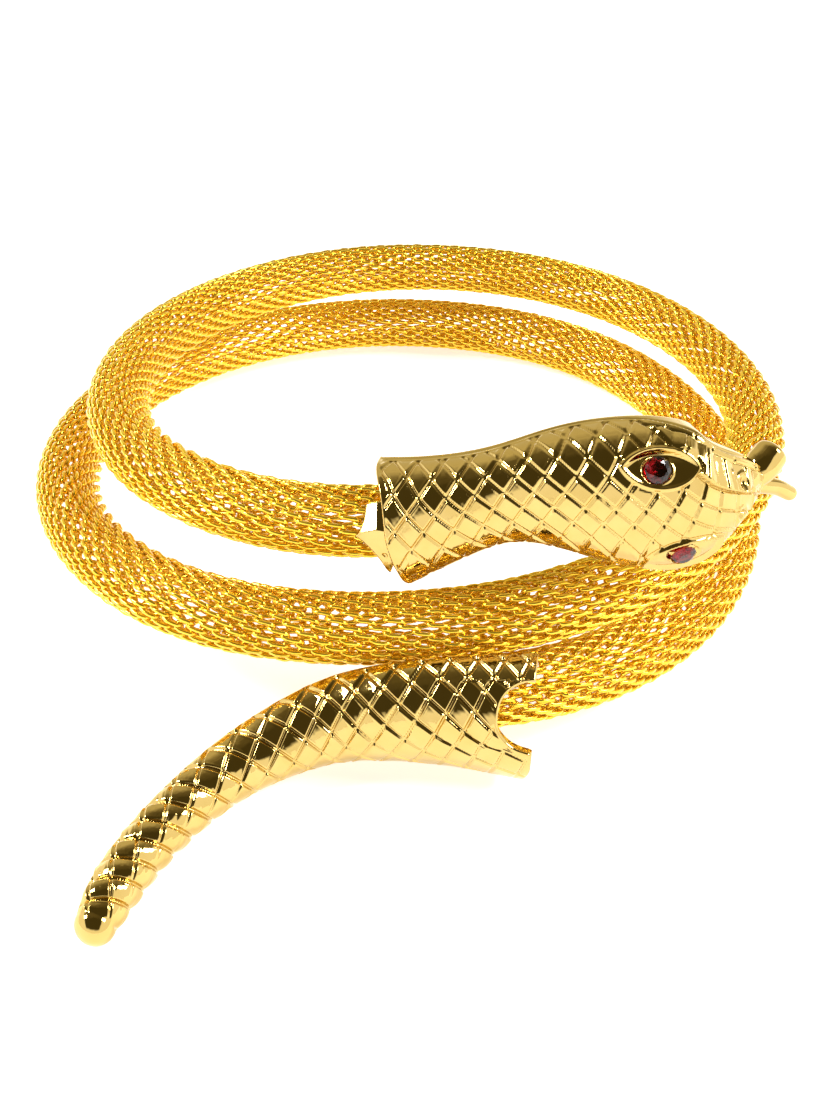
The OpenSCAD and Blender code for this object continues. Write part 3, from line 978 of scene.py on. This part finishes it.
CLIP_AT = -96.2
CLIP_LEFT = [(-38, -1.25), (-34, -0.90), (-20, -0.40), (-3, 0.28), (12, 1.08), (18, 1.52), (22, 1.15), (39, 0.68), (76, 0.33)]
CLIP_RIGHT = [(-38, -1.30), (-30, -1.60), (-14, -1.85), (7, -2.0), (76, -2.0)]


def build_clip():
    p, t, o, v = mesh_frame(np.array(CLIP_AT))
    n, m = 90, 34
    th = np.linspace(-38, 62, n)
    left = np.interp(th, *zip(*CLIP_LEFT))
    right = np.interp(th, *zip(*CLIP_RIGHT))
    k = np.linspace(0, 1, m)
    s = right[:, None] * (1 - k) + left[:, None] * k
    lo, hi = -4.0, 54.0
    top = np.minimum(3.50 + 0.36 * (1.2 - s), 4.15)
    low = np.minimum(3.66 + 0.16 * (1.5 - s), 4.10)
    angle = th[:, None]
    facing = np.cos(np.radians(angle - hi))
    R = np.minimum(low / np.cos(np.radians(angle - lo)), top / np.maximum(facing, 0.3))
    edge = np.minimum(left[:, None] - s, s - right[:, None])
    tip = np.minimum(np.radians(th + 38) * 3.7, np.radians(62 - th) * 3.7)[:, None]
    d = np.minimum(edge, tip)
    r = 0.16
    round_off = r - np.sqrt(np.maximum(r * r - np.clip(r - d, 0, r) ** 2, 0))
    hole = np.hypot((th[:, None] + 12) * 0.065, s + 1.0)
    round_off = round_off + 0.18 * step01((0.22 - hole) / 0.08)
    rad_out = R - round_off
    rad_in = R - 0.30
    c, si = np.cos(np.radians(th)), np.sin(np.radians(th))
    dirs = c[:, None] * o + si[:, None] * v
    out = p + rad_out[..., None] * dirs[:, None] + s[..., None] * t
    inn = p + rad_in[..., None] * dirs[:, None] + s[..., None] * t
    verts = np.concatenate([out.reshape(-1, 3), inn.reshape(-1, 3)])
    b = n * m
    quads = [grid_quads(n, m), grid_quads(n, m, b, flip=True)]
    i = np.arange(n - 1)
    for side, fl in ((0, False), (m - 1, True)):
        a = i * m + side
        q = np.stack([a, a + m, a + m + b, a + b], -1)
        quads.append(q if not fl else q[:, ::-1])
    j = np.arange(m - 1)
    for row, fl in ((0, True), (n - 1, False)):
        a = row * m + j
        q = np.stack([a, a + 1, a + 1 + b, a + b], -1)
        quads.append(q[:, ::-1] if not fl else q)
    ob = make_mesh("collar_clip", verts, quads=np.concatenate(quads), mats=[CAST])
    piece(ob, "head_collar")


build_clip()

# ------------------------------------------------------------------- finish

def plain(b):
    return [[float(x) for x in c] for c in b]
